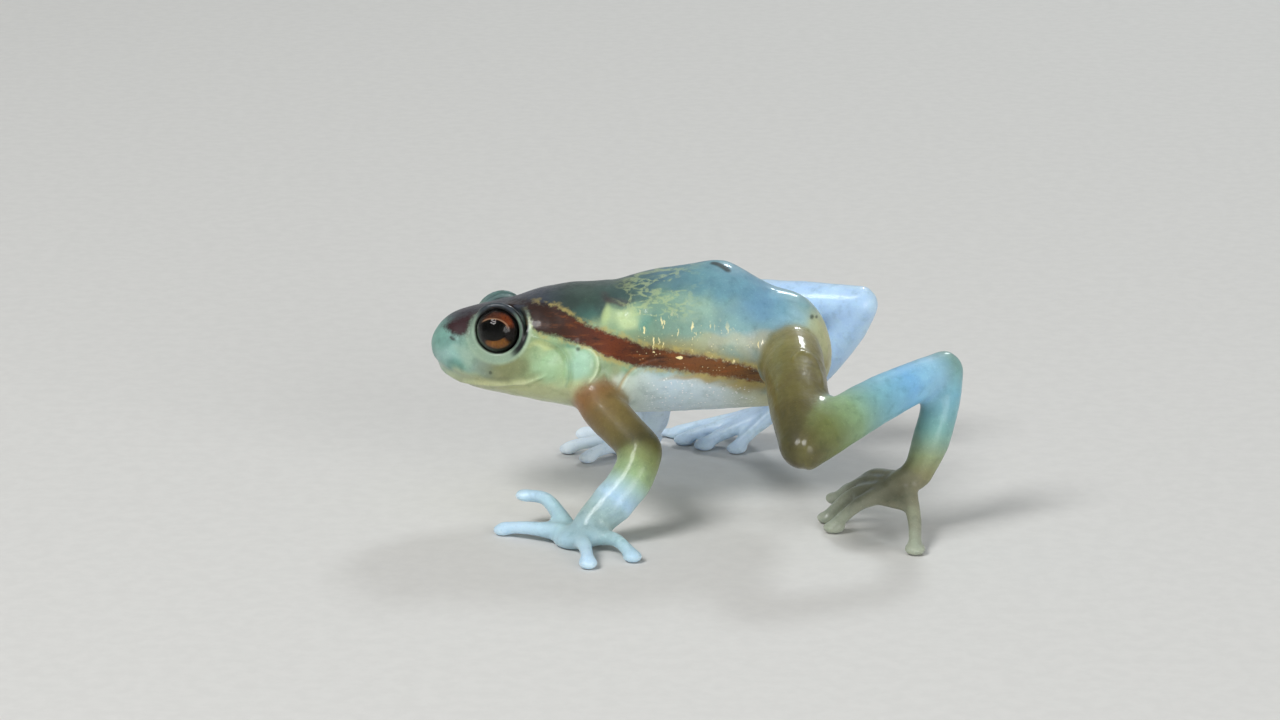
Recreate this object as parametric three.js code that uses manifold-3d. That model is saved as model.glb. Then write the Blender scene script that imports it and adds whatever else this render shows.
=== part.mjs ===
// A glass frog in mid step, life size, as a museum model: head, torso, two eyes, two arms and two legs.
// Millimetres, +Z up, snout towards -X, the animal's left side towards -Y, feet on the plane Z = 0.
import * as THREE from "three";
import { mergeVertices } from "three/addons/utils/BufferGeometryUtils.js";
import Module from "manifold-3d";

const wasm = await Module();
wasm.setup();

// Driving dimensions
const GAP = 0.3; // between neighbouring parts
const SNOUT_X = -13.1;
const BODY_LENGTH = 25.1;
const HEAD_LENGTH = 8.9;
const BODY_ROLL = THREE.MathUtils.degToRad(-7.5); // the left side is carried higher in this step
const ROLL_HEIGHT = 10.3;
const SNOUT_ROUNDING = 1.6;
const RUMP_ROUNDING = 2.2;
const EYE_RADIUS = 1.4;
const EYE_FROM_SNOUT = 4.46;
const EYE_FROM_MIDLINE = 2.87;
const EYE_HEIGHT = 11.29;
const EYE_FORWARD = THREE.MathUtils.degToRad(15);
const EYE_UP = THREE.MathUtils.degToRad(4);
const SOCKET_RADIUS = EYE_RADIUS + 0.25;
const BROW_RADIUS = 1.93;
const LID_RADIUS = 1.6;
const LID_THICKNESS = 0.2;
const DIGIT_RADIUS = 0.46;
const FINGER_DISC = 0.7;
const TOE_DISC = 0.78;
const DISC_HEIGHT = 0.32; // of a disc's centre, low enough that the floor presses it flat
const DISC_HALF_THICKNESS = 0.37;
const MOUTH_GROOVE = 0.13;
const UPPER_LIP = { lift: 0.24, radius: 0.22, proud: 0.09 };
const LOWER_LIP = { lift: -0.22, radius: 0.18, proud: 0.03 };
const WEB_HALF_THICKNESS = 0.27;
const HAND_WEB = 0.22; // share of each digit that the web reaches
const FOOT_WEB = 0.5;
const OUTER_TOE_WEB = 0.3; // between the last two toes
const NOSTRIL_RADIUS = 0.2;

// Facets
const BODY_SIDES = 28;
const BODY_STEPS = 38;
const LIMB_SIDES = 12;
const DIGIT_SIDES = 7;
const FACET_TOLERANCE = 0.04;

const at = (x, y, z) => new THREE.Vector3(x, y, z);

// A smooth line through a few [place, value] knots, level past its ends.
function smooth(knots) {
  const slope = knots.map((knot, i) => {
    const before = knots[Math.max(i - 1, 0)];
    const after = knots[Math.min(i + 1, knots.length - 1)];
    return (after[1] - before[1]) / (after[0] - before[0]);
  });
  return (place) => {
    const last = knots.length - 1;
    if (place <= knots[0][0]) return knots[0][1];
    if (place >= knots[last][0]) return knots[last][1];
    const i = knots.findIndex((knot) => knot[0] > place) - 1;
    const span = knots[i + 1][0] - knots[i][0];
    const t = (place - knots[i][0]) / span;
    const rise = t * t * (3 - 2 * t);
    return (
      knots[i][1] * (1 - rise) +
      knots[i + 1][1] * rise +
      span * (slope[i] * t * (1 - t) ** 2 - slope[i + 1] * t * t * (1 - t))
    );
  };
}

// The body's outlines, by distance from the snout: back, belly, half width, and how square each section is.
const back = smooth([
  [0, 11.5],
  [1.2, 12.0],
  [2.8, 12.5],
  [5.0, 12.95],
  [7.5, 13.8],
  [9.3, 14.05],
  [11.6, 14.1],
  [13.5, 14.7],
  [15.6, 15.0],
  [18.1, 15.4],
  [19.2, 15.0],
  [21.2, 13.8],
  [22.6, 13.4],
  [25.1, 12.5],
]);
const belly = smooth([
  [0, 8.6],
  [1.2, 8.15],
  [2.8, 7.45],
  [5.0, 6.98],
  [8.7, 6.25],
  [12.5, 5.77],
  [18.2, 6.0],
  [21.5, 6.15],
  [25.1, 6.4],
]);
const halfWidth = smooth([
  [0, 1.8],
  [1.2, 2.4],
  [2.8, 3.15],
  [5.0, 3.8],
  [7.5, 4.2],
  [9.3, 4.1],
  [11.2, 3.9],
  [15.6, 4.35],
  [18.2, 4.15],
  [21.2, 3.4],
  [25.1, 2.5],
]);
const widestShare = smooth([
  [0, 0.45],
  [6, 0.36],
  [12, 0.46],
  [25.1, 0.48],
]);
const backPower = smooth([
  [0, 2.2],
  [5, 2.5],
  [12, 2.2],
  [17.8, 1.75],
  [22, 2.0],
  [25.1, 2.2],
]);
const bellyPower = smooth([
  [0, 2.3],
  [5, 2.6],
  [12, 2.2],
  [25.1, 2.1],
]);

// How far the rounded snout and rump have filled out, from 0 at each tip to 1.
function roundedEnds(along) {
  const snout = Math.min(along / SNOUT_ROUNDING, 1);
  const rump = Math.min((BODY_LENGTH - along) / RUMP_ROUNDING, 1);
  return Math.sqrt((1 - (1 - snout) ** 2) * (1 - (1 - rump) ** 2));
}

// The body's section at a distance from the snout, in the unrolled body.
function sectionAt(along) {
  const fill = roundedEnds(along);
  const middle = (back(along) + belly(along)) / 2;
  const half = ((back(along) - belly(along)) / 2) * fill;
  const widest = middle - half + 2 * half * widestShare(along);
  return {
    widest,
    above: middle + half - widest,
    below: widest - (middle - half),
    wide: halfWidth(along) * fill,
    powerAbove: backPower(along),
    powerBelow: bellyPower(along),
  };
}

// Half the body's width at a height of one section, or 0 outside it.
function sideAt(along, height) {
  const s = sectionAt(along);
  const up = height > s.widest;
  const share = Math.abs(height - s.widest) / (up ? s.above : s.below);
  const power = up ? s.powerAbove : s.powerBelow;
  return share >= 1 ? 0 : s.wide * (1 - share ** power) ** (1 / power);
}

// A closed skin over rings of equal length, with a point at each end.
function skinOver(rings, firstPole, lastPole) {
  const sides = rings[0].length;
  const points = [firstPole, ...rings.flat(), lastPole];
  const faces = [];
  const corner = (ring, side) => 1 + ring * sides + (side % sides);
  const last = points.length - 1;
  for (let side = 0; side < sides; side++) {
    faces.push(0, corner(0, side + 1), corner(0, side));
    faces.push(last, corner(rings.length - 1, side), corner(rings.length - 1, side + 1));
    for (let ring = 0; ring < rings.length - 1; ring++) {
      faces.push(corner(ring, side), corner(ring, side + 1), corner(ring + 1, side + 1));
      faces.push(corner(ring, side), corner(ring + 1, side + 1), corner(ring + 1, side));
    }
  }
  return new THREE.BufferGeometry().setFromPoints(points).setIndex(faces);
}

// A geometry as a solid, with its faces turned outwards.
function solid(geometry) {
  const bare = geometry.clone();
  bare.deleteAttribute("normal");
  bare.deleteAttribute("uv");
  const merged = mergeVertices(bare, 1e-4);
  const triVerts = new Uint32Array(merged.index.array);
  const make = () =>
    new wasm.Manifold(
      new wasm.Mesh({ numProp: 3, vertProperties: merged.attributes.position.array, triVerts }),
    );
  const made = make();
  if (made.volume() > 0) return made;
  for (let i = 0; i < triVerts.length; i += 3) {
    [triVerts[i + 1], triVerts[i + 2]] = [triVerts[i + 2], triVerts[i + 1]];
  }
  return make();
}

const join = (solids) => solids.reduce((whole, piece) => whole.add(piece));
const cut = (whole, tools) => tools.reduce((left, tool) => left.subtract(tool), whole);

// The head and torso as one rolled body, grown outwards by a margin.
function bodySolid(margin) {
  const rings = [];
  for (let i = 1; i < BODY_STEPS; i++) {
    // Stations crowd towards both rounded ends.
    const along = (BODY_LENGTH * (1 - Math.cos((Math.PI * i) / BODY_STEPS))) / 2;
    const s = sectionAt(along);
    const reach = along + margin * (2 * (along / BODY_LENGTH) - 1);
    rings.push(
      Array.from({ length: BODY_SIDES }, (_, side) => {
        const angle = (2 * Math.PI * side) / BODY_SIDES;
        const up = Math.sin(angle) >= 0;
        const power = up ? s.powerAbove : s.powerBelow;
        const out = Math.sign(Math.cos(angle)) * Math.abs(Math.cos(angle)) ** (2 / power);
        const rise = Math.abs(Math.sin(angle)) ** (2 / power);
        return at(
          SNOUT_X + reach,
          out * (s.wide + margin),
          s.widest + (up ? rise * (s.above + margin) : -rise * (s.below + margin)),
        );
      }),
    );
  }
  const pole = (along, push) => at(SNOUT_X + along + push, 0, (back(along) + belly(along)) / 2);
  const geometry = skinOver(rings, pole(0, -margin), pole(BODY_LENGTH, margin));
  return solid(geometry.applyMatrix4(bodyTurn));
}

const bodyTurn = new THREE.Matrix4()
  .makeTranslation(0, 0, ROLL_HEIGHT)
  .multiply(new THREE.Matrix4().makeRotationX(BODY_ROLL))
  .multiply(new THREE.Matrix4().makeTranslation(0, 0, -ROLL_HEIGHT));

// A point of the unrolled body, by distance from the snout, carried into the stance.
const onBody = (along, y, z) => at(SNOUT_X + along, y, z).applyMatrix4(bodyTurn);

// An ellipsoid with its own axes along three directions.
function ellipsoid(centre, radii, facing = at(1, 0, 0), up = at(0, 0, 1), facets = [12, 7]) {
  const x = facing.clone().normalize();
  const y = up.clone().cross(x).normalize();
  const z = x.clone().cross(y);
  const turn = new THREE.Matrix4().makeBasis(x, y, z).setPosition(centre);
  const geometry = new THREE.SphereGeometry(1, ...facets);
  geometry.rotateX(Math.PI / 2).scale(...radii);
  return solid(geometry.applyMatrix4(turn));
}

// A limb or digit: a round tube through a few points, each with its radius, with domed ends.
function tube(path, sides, stepsPerSpan = 4, domeRings = [30, 60]) {
  const curve = new THREE.CatmullRomCurve3(
    path.map((knot) => at(...knot.slice(0, 3))),
    false,
    "centripetal",
  );
  const spans = path.length - 1;
  const steps = spans * stepsPerSpan;
  const radius = smooth(path.map((knot, i) => [i / spans, knot[3]]));
  const frames = curve.computeFrenetFrames(steps, false);
  const ringAt = (centre, i, r) =>
    Array.from({ length: sides }, (_, side) => {
      const angle = (2 * Math.PI * side) / sides;
      return centre
        .clone()
        .addScaledVector(frames.normals[i], r * Math.cos(angle))
        .addScaledVector(frames.binormals[i], r * Math.sin(angle));
    });
  const centres = frames.tangents.map((_, i) => curve.getPoint(i / steps));
  const rings = centres.map((centre, i) => ringAt(centre, i, radius(i / steps)));
  const dome = (i, way) => {
    const r = radius(i / steps);
    const along = (share) => centres[i].clone().addScaledVector(frames.tangents[i], way * r * share);
    return {
      rings: domeRings.map((degrees) => {
        const tilt = THREE.MathUtils.degToRad(degrees);
        return ringAt(along(Math.sin(tilt)), i, r * Math.cos(tilt));
      }),
      pole: along(1),
    };
  };
  const first = dome(0, -1);
  const last = dome(steps, 1);
  return solid(
    skinOver([...first.rings.reverse(), ...rings, ...last.rings], first.pole, last.pole),
  );
}

// A thin square cutter across a limb.
function slab(centre, across, size) {
  const geometry = new THREE.BoxGeometry(size, size, GAP);
  const turn = new THREE.Quaternion().setFromUnitVectors(at(0, 0, 1), across.clone().normalize());
  geometry.applyQuaternion(turn);
  geometry.translate(centre.x, centre.y, centre.z);
  return solid(geometry);
}

const everythingBelowFloor = solid(new THREE.BoxGeometry(80, 80, 10).translate(0, 0, -5));

// The mouth's line round the muzzle, as heights by distance from the snout.
const MOUTH_CORNER = 7.5;
const mouthHeight = smooth([
  [0, 8.95],
  [0.6, 8.65],
  [2.05, 7.95],
  [4.15, 7.9],
  [6.05, 8.1],
  [7.6, 8.75],
]);

// A roll that follows the mouth from corner to corner, a little above or below it and sunk into the face.
function muzzleRoll(lift, sunk, radius) {
  const heightAt = (along) => mouthHeight(along) + lift;
  let front = 0.01;
  while (sideAt(front, heightAt(front)) === 0) front += 0.01;
  const turns = 9;
  const path = [];
  for (let i = -turns; i <= turns; i++) {
    const share = Math.abs(i) / turns;
    const along = front + (MOUTH_CORNER - front) * share ** 1.7;
    const y = Math.sign(i) * (sideAt(along, heightAt(along)) - sunk * Math.min(3 * share, 1));
    const x = along + sunk * (1 - Math.min(3 * share, 1));
    const taper = 1 - 0.6 * share ** 6;
    path.push([...onBody(x, y, heightAt(along)).toArray(), radius * taper]);
  }
  return tube(path, 5, 1, [45]);
}

// One eye's centre and the way it looks. Side is -1 on the animal's left and 1 on its right.
function eyePlace(side) {
  const centre = onBody(EYE_FROM_SNOUT, side * EYE_FROM_MIDLINE, EYE_HEIGHT);
  const looks = at(
    -Math.sin(EYE_FORWARD),
    side * Math.cos(EYE_FORWARD) * Math.cos(EYE_UP),
    Math.sin(EYE_UP),
  ).transformDirection(bodyTurn);
  return { centre, looks };
}

function lidRing({ centre, looks }) {
  const geometry = new THREE.TorusGeometry(LID_RADIUS, LID_THICKNESS, 6, 20);
  geometry.applyQuaternion(new THREE.Quaternion().setFromUnitVectors(at(0, 0, 1), looks));
  const middle = centre.clone().addScaledVector(looks, 0.75);
  return solid(geometry.translate(middle.x, middle.y, middle.z));
}

// Brow and lid mounds to join, and the socket to hollow, for one eye.
function eyeSurround(side) {
  const place = eyePlace(side);
  const brow = place.centre.clone().addScaledVector(place.looks, -0.3);
  return {
    mounds: [
      ellipsoid(brow, [BROW_RADIUS, BROW_RADIUS, BROW_RADIUS], place.looks, at(0, 0, 1), [16, 10]),
      lidRing(place),
    ],
    socket: ellipsoid(
      place.centre,
      [SOCKET_RADIUS, SOCKET_RADIUS, SOCKET_RADIUS],
      place.looks,
      at(0, 0, 1),
      [16, 10],
    ),
    opening: tube(
      [0.4, 1.6, 2.8].map((out) => [
        ...place.centre.clone().addScaledVector(place.looks, out).toArray(),
        LID_RADIUS - LID_THICKNESS,
      ]),
      16,
      1,
    ),
  };
}

// Cheek and shoulder swellings, and nostrils, as pairs.
const CHEEK = { along: 7.3, out: 3.05, height: 9.15, radii: [1.4, 1.4, 1.55] };
const SHOULDER = { along: 9.9, out: 2.9, height: 9.0, radii: [1.3, 1.35, 1.6] };
const swelling = ({ along, out, height, radii }, side, margin = 0) =>
  ellipsoid(
    onBody(along, side * out, height),
    radii.map((radius) => radius + margin),
    at(1, 0, 0),
    at(0, 0, 1),
    [14, 8],
  );
const nostril = (side) =>
  ellipsoid(
    onBody(1.5, side * sideAt(1.5, 10.75), 10.75),
    [NOSTRIL_RADIUS * 1.3, NOSTRIL_RADIUS, NOSTRIL_RADIUS],
    at(1, 0, 0),
    at(0, 0, 1),
    [8, 6],
  );

// A digit's disc at its tip, facing along the digit.
function disc(tip, from, radius, centreHeight = DISC_HEIGHT) {
  const facing = at(tip[0] - from[0], tip[1] - from[1], 0);
  return ellipsoid(
    at(tip[0], tip[1], centreHeight),
    [radius, radius * 0.95, DISC_HALF_THICKNESS],
    facing,
    at(0, 0, 1),
    [9, 6],
  );
}

// A digit from its root over a knuckle to its disc on the floor, or held at the height that its tip gives.
function digit(root, knuckle, tip, discRadius) {
  const raised = tip.length > 2;
  const end = raised ? tip : [...tip, DIGIT_RADIUS];
  return join([
    tube(
      [
        [...root, DIGIT_RADIUS * 1.35],
        [...knuckle, DIGIT_RADIUS],
        [...end, DIGIT_RADIUS * 0.92],
      ],
      DIGIT_SIDES,
      3,
      [45],
    ),
    disc(end, knuckle, discRadius, raised ? end[2] : DISC_HEIGHT),
  ]);
}

// A point of a digit, by the share of its length from the root to the tip.
function onDigit({ root, knuckle, tip }, share) {
  const end = tip.length > 2 ? tip : [...tip, DIGIT_RADIUS];
  const curve = new THREE.CatmullRomCurve3(
    [at(...root), at(...knuckle), at(...end)],
    false,
    "centripetal",
  );
  return curve.getPoint(share);
}

// The thin webs between neighbouring digits.
function webs(digits, reach, lastReach = reach) {
  const bead = (centre) =>
    ellipsoid(centre, Array(3).fill(WEB_HALF_THICKNESS), at(1, 0, 0), at(0, 0, 1), [5, 4]);
  return digits.slice(1).map((next, i) => {
    const share = i === digits.length - 2 ? lastReach : reach;
    return wasm.Manifold.hull([
      bead(onDigit(digits[i], 0)),
      bead(onDigit(next, 0)),
      bead(onDigit(digits[i], share)),
      bead(onDigit(next, share)),
    ]);
  });
}

// Left and right limbs, as joints in the stance. Every knot is x, y, z and the limb's radius there.
const ARMS = {
  left: {
    upper: [
      [-2.9, -2.2, 8.4, 1.5],
      [-2.5, -3.9, 7.3, 1.45],
      [-1.1, -5.8, 6.15, 1.36],
      [0.2, -7.4, 5.3, 1.26],
    ],
    lower: [
      [0.2, -7.4, 5.3, 1.26],
      [-0.4, -8.3, 3.9, 1.36],
      [-1.7, -9.1, 2.4, 1.3],
      [-3.1, -9.8, 1.2, 1.05],
    ],
    palm: { centre: [-3.5, -10.0, 0.66], radii: [1.9, 1.7, 0.8] },
    fingers: [
      { root: [-4.5, -8.7, 0.85], knuckle: [-5.8, -6.7, 2.0], tip: [-7.1, -5.9, 1.95] },
      { root: [-4.8, -9.6, 0.7], knuckle: [-6.7, -8.8, 0.75], tip: [-8.4, -7.8] },
      { root: [-3.7, -10.9, 0.7], knuckle: [-3.3, -12.7, 0.8], tip: [-3.1, -14.5] },
      { root: [-2.7, -10.5, 0.75], knuckle: [-1.5, -11.5, 0.85], tip: [-0.45, -13.2] },
    ],
  },
  right: {
    upper: [
      [-2.6, 2.2, 7.9, 1.45],
      [-2.2, 4.0, 7.0, 1.38],
      [-0.6, 5.9, 6.5, 1.28],
      [0.9, 7.4, 5.9, 1.2],
    ],
    lower: [
      [0.9, 7.4, 5.9, 1.2],
      [0.95, 8.4, 4.3, 1.25],
      [0.7, 9.3, 2.6, 1.2],
      [0.1, 10.0, 1.25, 1.0],
    ],
    palm: { centre: [-0.3, 10.4, 0.66], radii: [1.9, 1.7, 0.8] },
    fingers: [
      { root: [-1.0, 9.7, 0.75], knuckle: [-2.2, 8.7, 0.75], tip: [-3.4, 7.9] },
      { root: [-1.2, 10.3, 0.75], knuckle: [-3.0, 10.2, 0.75], tip: [-4.7, 10.0] },
      { root: [-0.9, 11.0, 0.75], knuckle: [-2.5, 12.2, 0.75], tip: [-3.7, 13.5] },
      { root: [-0.1, 11.2, 0.75], knuckle: [0.3, 12.8, 0.75], tip: [0.9, 14.2] },
    ],
  },
};
const LEGS = {
  left: {
    thigh: [
      [9.4, -1.6, 10.3, 1.85],
      [9.5, -5.2, 9.55, 1.98],
      [9.65, -9.4, 8.3, 1.88],
      [9.7, -13.1, 7.0, 1.42],
    ],
    shank: [
      [9.7, -13.1, 7.0, 1.42],
      [11.6, -11.2, 7.85, 1.56],
      [14.8, -8.4, 8.95, 1.45],
      [18.7, -5.5, 9.95, 1.15],
    ],
    tarsus: [
      [18.7, -5.5, 9.95, 1.15],
      [18.5, -6.0, 8.2, 1.2],
      [17.85, -6.6, 5.8, 1.2],
      [17.0, -7.2, 3.7, 0.95],
    ],
    foot: [
      [17.0, -7.2, 3.7, 0.95],
      [15.9, -7.2, 3.1, 0.85],
      [14.9, -7.0, 2.3, 0.66],
    ],
    toes: [
      { root: [15.7, -6.6, 3.2], knuckle: [14.5, -5.0, 3.0], tip: [13.2, -3.6, 1.7] },
      { root: [15.2, -6.7, 2.9], knuckle: [13.8, -5.0, 2.5], tip: [12.2, -3.4, 1.0] },
      { root: [14.9, -7.0, 2.6], knuckle: [13.2, -6.0, 2.1], tip: [11.6, -5.3] },
      { root: [15.0, -7.4, 2.5], knuckle: [13.4, -7.6, 1.9], tip: [11.9, -7.3] },
      { root: [16.4, -7.8, 2.9], knuckle: [16.7, -9.8, 1.4], tip: [16.6, -11.7] },
    ],
  },
  right: {
    thigh: [
      [9.3, 1.6, 9.9, 1.85],
      [7.7, 5.2, 9.8, 1.95],
      [5.3, 9.4, 9.6, 1.85],
      [3.2, 12.9, 9.5, 1.45],
    ],
    shank: [
      [3.2, 12.9, 9.5, 1.45],
      [6.0, 12.0, 9.7, 1.6],
      [10.2, 10.3, 10.1, 1.45],
      [14.3, 8.6, 10.5, 1.15],
    ],
    tarsus: [
      [14.3, 8.6, 10.5, 1.15],
      [13.6, 9.1, 8.9, 1.2],
      [12.3, 9.9, 6.7, 1.15],
      [10.9, 10.7, 4.7, 0.95],
    ],
    foot: [
      [10.9, 10.7, 4.7, 0.95],
      [9.6, 11.2, 3.4, 0.85],
      [8.3, 11.6, 2.3, 0.66],
    ],
    toes: [
      { root: [9.2, 11.0, 2.9], knuckle: [7.6, 10.5, 1.6], tip: [6.3, 10.1] },
      { root: [8.6, 11.2, 2.5], knuckle: [6.3, 11.1, 1.4], tip: [4.2, 10.9] },
      { root: [8.3, 11.5, 2.3], knuckle: [5.3, 12.0, 1.3], tip: [2.9, 12.1] },
      { root: [8.3, 11.8, 2.3], knuckle: [5.2, 13.0, 1.3], tip: [2.4, 13.7] },
      { root: [8.8, 12.1, 2.6], knuckle: [7.1, 13.6, 1.2], tip: [5.4, 15.0] },
    ],
  },
};

// Materials
const paint = (color, roughness) =>
  new THREE.MeshStandardMaterial({ color, roughness, metalness: 0 });
const HEAD_PAINT = paint("#9fbfae", 0.3);
const TORSO_PAINT = paint("#a9c3c0", 0.3);
const EYE_PAINT = paint("#241410", 0.08);
const ARM_PAINT = paint("#b6a183", 0.35);
const HAND_PAINT = paint("#b9cfd3", 0.35);
const THIGH_PAINT = paint("#a5a071", 0.35);
const SHANK_PAINT = paint("#a4bfc6", 0.35);

const frog = new THREE.Group();

// Adds a named part made from the largest closed piece of a solid.
function addPart(name, shape, material) {
  const pieces = shape.decompose();
  const largest = pieces.reduce((a, b) => (b.volume() > a.volume() ? b : a));
  const mesh = largest.simplify(FACET_TOLERANCE).getMesh();
  const corners = new Float32Array(mesh.numVert * 3);
  for (let i = 0; i < mesh.numVert; i++) {
    corners.set(mesh.vertProperties.subarray(i * mesh.numProp, i * mesh.numProp + 3), i * 3);
  }
  const geometry = new THREE.BufferGeometry();
  geometry.setAttribute("position", new THREE.BufferAttribute(corners, 3));
  geometry.setIndex(new THREE.BufferAttribute(mesh.triVerts, 1));
  geometry.computeVertexNormals();
  const part = new THREE.Mesh(geometry, material);
  part.name = name;
  frog.add(part);
}

// The piece of a cut limb that holds, or lies nearest to, a given knot.
function pieceNear(shape, [x, y, z]) {
  const distance = (piece) => {
    const { min, max } = piece.boundingBox();
    return at((min[0] + max[0]) / 2 - x, (min[1] + max[1]) / 2 - y, (min[2] + max[2]) / 2 - z).length();
  };
  const pieces = shape.decompose().filter((piece) => piece.volume() > 0.5);
  return pieces.reduce((a, b) => (distance(b) < distance(a) ? b : a));
}

const vector = (knot) => at(...knot.slice(0, 3));
const direction = (from, to) => vector(to).sub(vector(from)).normalize();

// The cutter at a joint where one tube ends and the next begins, across the bend.
function jointCut(before, after, size) {
  const joint = before[before.length - 1];
  const arriving = direction(before[before.length - 2], joint);
  const leaving = direction(after[0], after[1]);
  return slab(vector(joint), arriving.add(leaving), size);
}

function buildHeadAndTorso() {
  const sides = [-1, 1];
  const surrounds = sides.map(eyeSurround);
  const swollen = join([
    bodySolid(0),
    ...[CHEEK, SHOULDER].flatMap((mound) => sides.map((side) => swelling(mound, side))),
    ...surrounds.flatMap((eye) => eye.mounds),
    ...[UPPER_LIP, LOWER_LIP].map((lip) => muzzleRoll(lip.lift, lip.radius - lip.proud, lip.radius)),
  ]);
  const neck = onBody(HEAD_LENGTH, 0, ROLL_HEIGHT);
  const whole = cut(swollen, [
    ...surrounds.map((eye) => eye.socket),
    ...surrounds.map((eye) => eye.opening),
    ...sides.map(nostril),
    muzzleRoll(0, 0, MOUTH_GROOVE),
    slab(neck, at(1, 0, 0), 14),
  ]);
  addPart("head", pieceNear(whole, onBody(HEAD_LENGTH / 2, 0, 10).toArray()), HEAD_PAINT);
  const torsoMiddle = onBody((HEAD_LENGTH + BODY_LENGTH) / 2, 0, 10).toArray();
  addPart("torso", pieceNear(whole, torsoMiddle), TORSO_PAINT);
  sides.forEach((side) => {
    const { centre, looks } = eyePlace(side);
    const eyeball = ellipsoid(centre, [EYE_RADIUS, EYE_RADIUS, EYE_RADIUS], looks, at(0, 0, 1), [16, 10]);
    addPart(side < 0 ? "eye_left" : "eye_right", eyeball, EYE_PAINT);
  });
}

function buildArm(side, arm, clearOfBody) {
  const hand = join([
    ellipsoid(at(...arm.palm.centre), arm.palm.radii, direction(arm.lower[3], arm.fingers[1].tip)),
    ...arm.fingers.map(({ root, knuckle, tip }) => digit(root, knuckle, tip, FINGER_DISC)),
    ...webs(arm.fingers, HAND_WEB),
  ]);
  const whole = cut(join([tube(arm.upper, LIMB_SIDES), tube(arm.lower, LIMB_SIDES), hand]), [
    clearOfBody,
    everythingBelowFloor,
    jointCut(arm.upper, arm.lower, 5),
    slab(vector(arm.lower[2]), direction(arm.lower[1], arm.lower[3]), 3.6),
  ]);
  addPart(`upper_arm_${side}`, pieceNear(whole, arm.upper[2]), ARM_PAINT);
  addPart(`forearm_${side}`, pieceNear(whole, arm.lower[1]), HAND_PAINT);
  addPart(`hand_${side}`, pieceNear(whole, arm.palm.centre), HAND_PAINT);
}

function buildLeg(side, leg, clearOfBody) {
  const foot = join([
    tube(leg.foot, LIMB_SIDES - 2, 3),
    ...leg.toes.map(({ root, knuckle, tip }) => digit(root, knuckle, tip, TOE_DISC)),
    ...webs(leg.toes, FOOT_WEB, OUTER_TOE_WEB),
  ]);
  const segments = [leg.thigh, leg.shank, leg.tarsus].map((path) => tube(path, LIMB_SIDES + 2));
  const whole = cut(join([...segments, foot]), [
    clearOfBody,
    everythingBelowFloor,
    jointCut(leg.thigh, leg.shank, 11),
    jointCut(leg.shank, leg.tarsus, 7),
    slab(vector(leg.foot[0]), direction(leg.tarsus[2], leg.foot[1]), 3),
  ]);
  addPart(`thigh_${side}`, pieceNear(whole, leg.thigh[2]), THIGH_PAINT);
  addPart(`shank_${side}`, pieceNear(whole, leg.shank[2]), SHANK_PAINT);
  addPart(`tarsus_${side}`, pieceNear(whole, leg.tarsus[1]), SHANK_PAINT);
  addPart(`foot_${side}`, pieceNear(whole, leg.foot[2]), HAND_PAINT);
}

buildHeadAndTorso();
const clearOfBody = join([
  bodySolid(GAP),
  ...[-1, 1].map((side) => swelling(SHOULDER, side, GAP)),
]);
for (const side of ["left", "right"]) {
  buildArm(side, ARMS[side], clearOfBody);
  buildLeg(side, LEGS[side], clearOfBody);
}

// The origin is under the middle of the animal, on the floor.
const bounds = new THREE.Box3().setFromObject(frog);
const middle = bounds.getCenter(at(0, 0, 0));
frog.position.set(-middle.x, -middle.y, -bounds.min.z);

export default frog;
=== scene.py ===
"""Looks for the glass frog: one wet, see-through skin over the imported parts, and two eyes."""

import math

import bpy
import numpy as np
import openvdb as vdb
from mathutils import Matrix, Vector, noise


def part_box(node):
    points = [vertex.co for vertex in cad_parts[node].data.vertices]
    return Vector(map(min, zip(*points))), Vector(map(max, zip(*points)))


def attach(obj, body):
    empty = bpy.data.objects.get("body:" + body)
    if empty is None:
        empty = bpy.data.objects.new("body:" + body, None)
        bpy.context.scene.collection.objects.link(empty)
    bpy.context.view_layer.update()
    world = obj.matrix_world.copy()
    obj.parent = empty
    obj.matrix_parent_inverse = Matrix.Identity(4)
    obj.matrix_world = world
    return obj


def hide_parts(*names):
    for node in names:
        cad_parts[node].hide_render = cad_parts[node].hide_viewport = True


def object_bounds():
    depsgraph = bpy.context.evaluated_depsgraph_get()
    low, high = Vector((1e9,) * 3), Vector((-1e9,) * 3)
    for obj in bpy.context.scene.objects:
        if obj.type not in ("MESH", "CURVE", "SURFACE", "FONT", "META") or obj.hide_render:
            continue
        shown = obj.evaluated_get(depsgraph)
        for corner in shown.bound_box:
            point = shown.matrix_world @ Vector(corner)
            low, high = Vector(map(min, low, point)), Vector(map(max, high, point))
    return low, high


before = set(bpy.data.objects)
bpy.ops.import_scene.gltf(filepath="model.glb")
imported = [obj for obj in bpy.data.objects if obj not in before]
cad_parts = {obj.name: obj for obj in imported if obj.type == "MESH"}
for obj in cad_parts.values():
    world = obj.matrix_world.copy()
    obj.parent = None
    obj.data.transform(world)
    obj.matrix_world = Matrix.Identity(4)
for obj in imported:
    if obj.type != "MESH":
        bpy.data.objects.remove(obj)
cad_box = [list(corner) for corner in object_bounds()]
noise.seed_set(1)  # without a seed, noise_vector gives another result in each run

MM = 0.001
SIDES = {"left": -1, "right": 1}

# The animal's own axes, read from the frame: the eyes give its lean, and the snout its front.
EYE_HEIGHT = 11.29  # in mm of the body, the same as in the CAD source
EYE_FORWARD = math.radians(15)
EYE_UP = math.radians(4)


def middle_of(node):
    low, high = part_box(node)
    return np.array((low + high) / 2)


EYES = {side: middle_of(f"eye_{side}") for side in SIDES}
EYE_RADIUS = float(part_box("eye_left")[1].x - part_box("eye_left")[0].x) / 2 / MM
SNOUT_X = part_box("head")[0].x
BODY_LENGTH = 25.1  # from the snout, in mm
ACROSS = (EYES["right"] - EYES["left"]) / np.linalg.norm(EYES["right"] - EYES["left"])
ALONG = np.array([1.0, 0.0, 0.0])
UPWARDS = np.cross(ALONG, ACROSS)
EYES_MIDDLE = (EYES["left"] + EYES["right"]) / 2


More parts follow.
